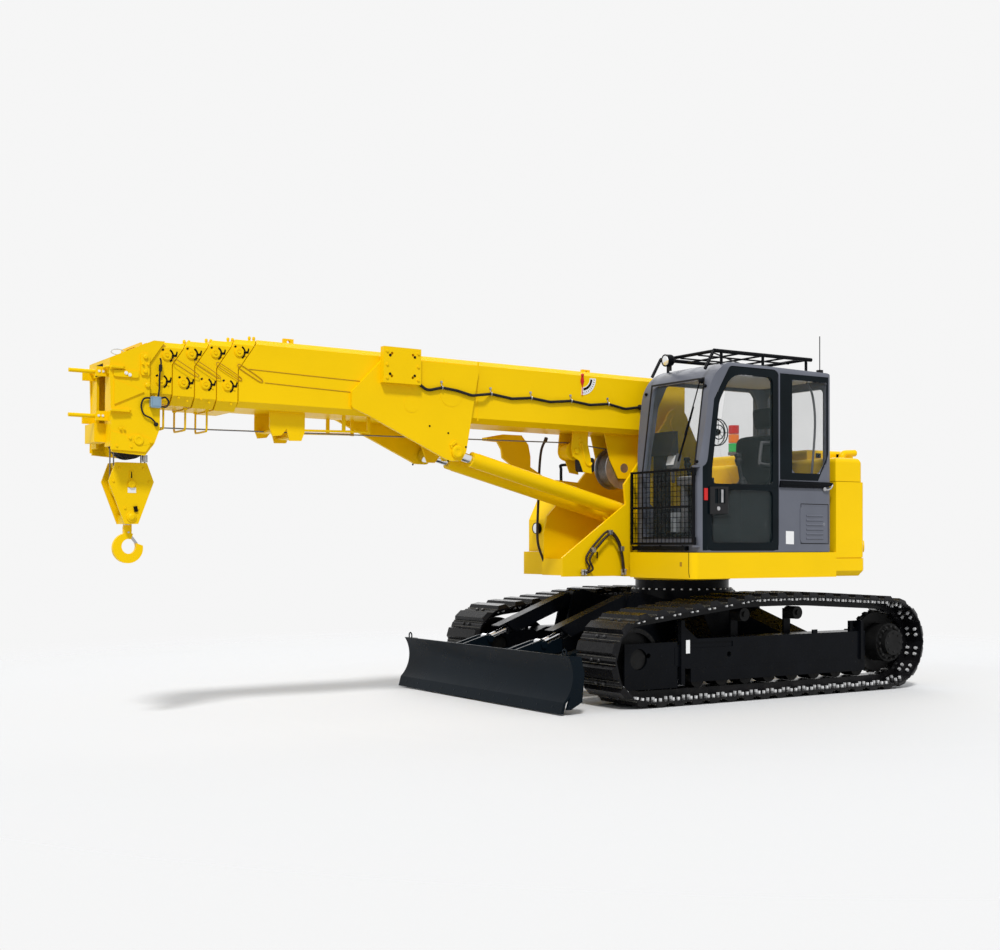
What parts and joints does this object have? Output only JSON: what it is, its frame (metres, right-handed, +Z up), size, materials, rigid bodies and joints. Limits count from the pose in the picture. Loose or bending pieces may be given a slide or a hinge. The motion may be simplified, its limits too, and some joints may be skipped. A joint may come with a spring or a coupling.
{
  "type": "telescopic boom crawler crane",
  "caption": "Compact crawler crane: nested box boom on a slewing upper with a side cab, luffing cylinders, hook block, counterweight, steel tracks and a dozer blade.",
  "frame": {"origin": "on the ground under the slewing axis", "axes": "+X to the boom tip as parked, +Y to the cab side, +Z up"},
  "size_m": [7.1468, 2.49, 3.003],
  "materials": {
    "track_steel": "worn black steel",
    "frame_black": "semi-gloss black paint",
    "blade_black": "semi-gloss blue-black paint",
    "yellow": "gloss warm yellow paint",
    "cab_grey": "satin grey paint",
    "glazing": "tinted clear",
    "bright_rod": "polished",
    "drum_steel": "oiled steel",
    "black_plastic": "moulded black",
    "seat_cloth": "woven black",
    "hook_paint": "gloss warm yellow paint",
    "black_rubber": "smooth black rubber"
  },
  "bodies": {
    "undercarriage": {"carbody": "frame_black", "track_frame_left": "frame_black", "track_frame_right": "frame_black", "track_left": "track_steel", "track_right": "track_steel", "sprocket_left": "frame_black", "sprocket_right": "frame_black", "idler_left": "frame_black", "idler_right": "frame_black", "rollers_left": "frame_black", "rollers_right": "frame_black"},
    "blade": {"blade": "blade_black"},
    "blade_cylinders": {"blade_cylinders": "blade_black"},
    "blade_rods": {"blade_rods": "bright_rod"},
    "upper": {"upper_frame": "yellow", "bracket_left": "yellow", "bracket_right": "yellow", "skirt": "yellow", "counterweight": "yellow", "rear_hood": "yellow", "engine": "frame_black", "right_housing": "yellow", "centre_cover": "yellow", "cab_floor": "cab_grey", "cab_left": "cab_grey", "cab_right": "cab_grey", "cab_front": "cab_grey", "cab_rear": "cab_grey", "cab_roof": "cab_grey", "cab_door": "cab_grey", "cab_glass": "glazing", "seat": "seat_cloth", "consoles": "black_plastic", "roof_guard": "frame_black", "roof_fittings": "black_plastic"},
    "front_guard": {"front_guard": "frame_black"},
    "luff_barrels": {"luff_barrels": "yellow"},
    "luff_rods": {"luff_rods": "bright_rod"},
    "boom": {"boom_base": "yellow", "boom_hose": "black_rubber", "winch_plates": "yellow", "fork_plates": "yellow", "bolting_plates": "yellow"},
    "winch_drum": {"winch_drum": "drum_steel"},
    "boom_2": {"boom_section_2": "yellow"},
    "boom_3": {"boom_section_3": "yellow"},
    "boom_4": {"boom_section_4": "yellow"},
    "boom_5": {"boom_section_5": "yellow"},
    "boom_6": {"boom_section_6": "yellow", "boom_head": "yellow"},
    "head_sheaves": {"head_sheaves": "black_plastic"},
    "limit_weight": {"limit_weight": "drum_steel"},
    "hook_block": {"hook_block": "hook_paint"},
    "hook": {"hook": "hook_paint"}
  },
  "joints": [
    {"name": "slew", "type": "hinge", "parent": "undercarriage", "child": "upper", "pos_m": [0, 0, 0.95], "axis": [0, 0, 1], "continuous": true},
    {"name": "luff", "type": "hinge", "parent": "upper", "child": "boom", "pos_m": [0.33, 0, 2.29], "axis": [0, -1, 0], "range_deg": [0, 76]},
    {"name": "luff_barrel_tilt", "type": "hinge", "parent": "upper", "child": "luff_barrels", "pos_m": [0.72, 0, 1.513], "axis": [0, -1, 0], "range_deg": [-1, 68]},
    {"name": "luff_rod_slide", "type": "slide", "parent": "luff_barrels", "child": "luff_rods", "axis": [0.9683, 0, 0.2498], "range_m": [-0.01, 1.03]},
    {"name": "extend_2", "type": "slide", "parent": "boom", "child": "boom_2", "axis": [0.9999, 0, 0.0113], "range_m": [0, 3]},
    {"name": "extend_3", "type": "slide", "parent": "boom_2", "child": "boom_3", "axis": [0.9999, 0, 0.0113], "range_m": [0, 3]},
    {"name": "extend_4", "type": "slide", "parent": "boom_3", "child": "boom_4", "axis": [0.9999, 0, 0.0113], "range_m": [0, 3]},
    {"name": "extend_5", "type": "slide", "parent": "boom_4", "child": "boom_5", "axis": [0.9999, 0, 0.0113], "range_m": [0, 3]},
    {"name": "extend_6", "type": "slide", "parent": "boom_5", "child": "boom_6", "axis": [0.9999, 0, 0.0113], "range_m": [0, 3]},
    {"name": "head_sheaves_spin", "type": "hinge", "parent": "boom_6", "child": "head_sheaves", "pos_m": [4.98405, 0, 1.95978], "axis": [0, -1, 0], "continuous": true},
    {"name": "rope_hang", "type": "hinge", "parent": "boom_6", "child": "limit_weight", "pos_m": [4.98405, 0, 1.95978], "axis": [0, -1, 0], "range_deg": [-77, 1]},
    {"name": "hoist", "type": "slide", "parent": "limit_weight", "child": "hook_block", "axis": [0, 0, -1], "range_m": [0, 1]},
    {"name": "hook_swivel", "type": "hinge", "parent": "hook_block", "child": "hook", "pos_m": [4.98405, 0, 1.3], "axis": [0, 0, 1], "continuous": true},
    {"name": "winch_turn", "type": "hinge", "parent": "boom", "child": "winch_drum", "pos_m": [0.72442, 0, 1.90245], "axis": [0, -1, 0], "continuous": true},
    {"name": "blade_lift", "type": "hinge", "parent": "undercarriage", "child": "blade", "pos_m": [1, 0, 0.4], "axis": [0, -1, 0], "range_deg": [-12, 22]},
    {"name": "blade_cylinder_tilt", "type": "hinge", "parent": "undercarriage", "child": "blade_cylinders", "pos_m": [0.9, 0, 0.8], "axis": [0, -1, 0], "range_deg": [-11, 19]},
    {"name": "blade_rod_slide", "type": "slide", "parent": "blade_cylinders", "child": "blade_rods", "axis": [0.9355, 0, -0.3534], "range_m": [-0.15, 0.085]},
    {"name": "front_guard_swing", "type": "hinge", "parent": "upper", "child": "front_guard", "pos_m": [0.856, 1.176, 1.55], "axis": [0, 0, 1], "range_deg": [0, 100]}
  ],
  "couplings": [
    {"joint": "luff_barrel_tilt", "follows": "luff", "ratio": 0.8753},
    {"joint": "luff_rod_slide", "follows": "luff", "m_per_rad": 0.7557},
    {"joint": "extend_3", "follows": "extend_2", "ratio": 1},
    {"joint": "extend_4", "follows": "extend_2", "ratio": 1},
    {"joint": "extend_5", "follows": "extend_2", "ratio": 1},
    {"joint": "extend_6", "follows": "extend_2", "ratio": 1},
    {"joint": "rope_hang", "follows": "luff", "ratio": -1},
    {"joint": "blade_cylinder_tilt", "follows": "blade_lift", "ratio": 0.7776},
    {"joint": "blade_rod_slide", "follows": "blade_lift", "m_per_rad": -0.3513}
  ]
}
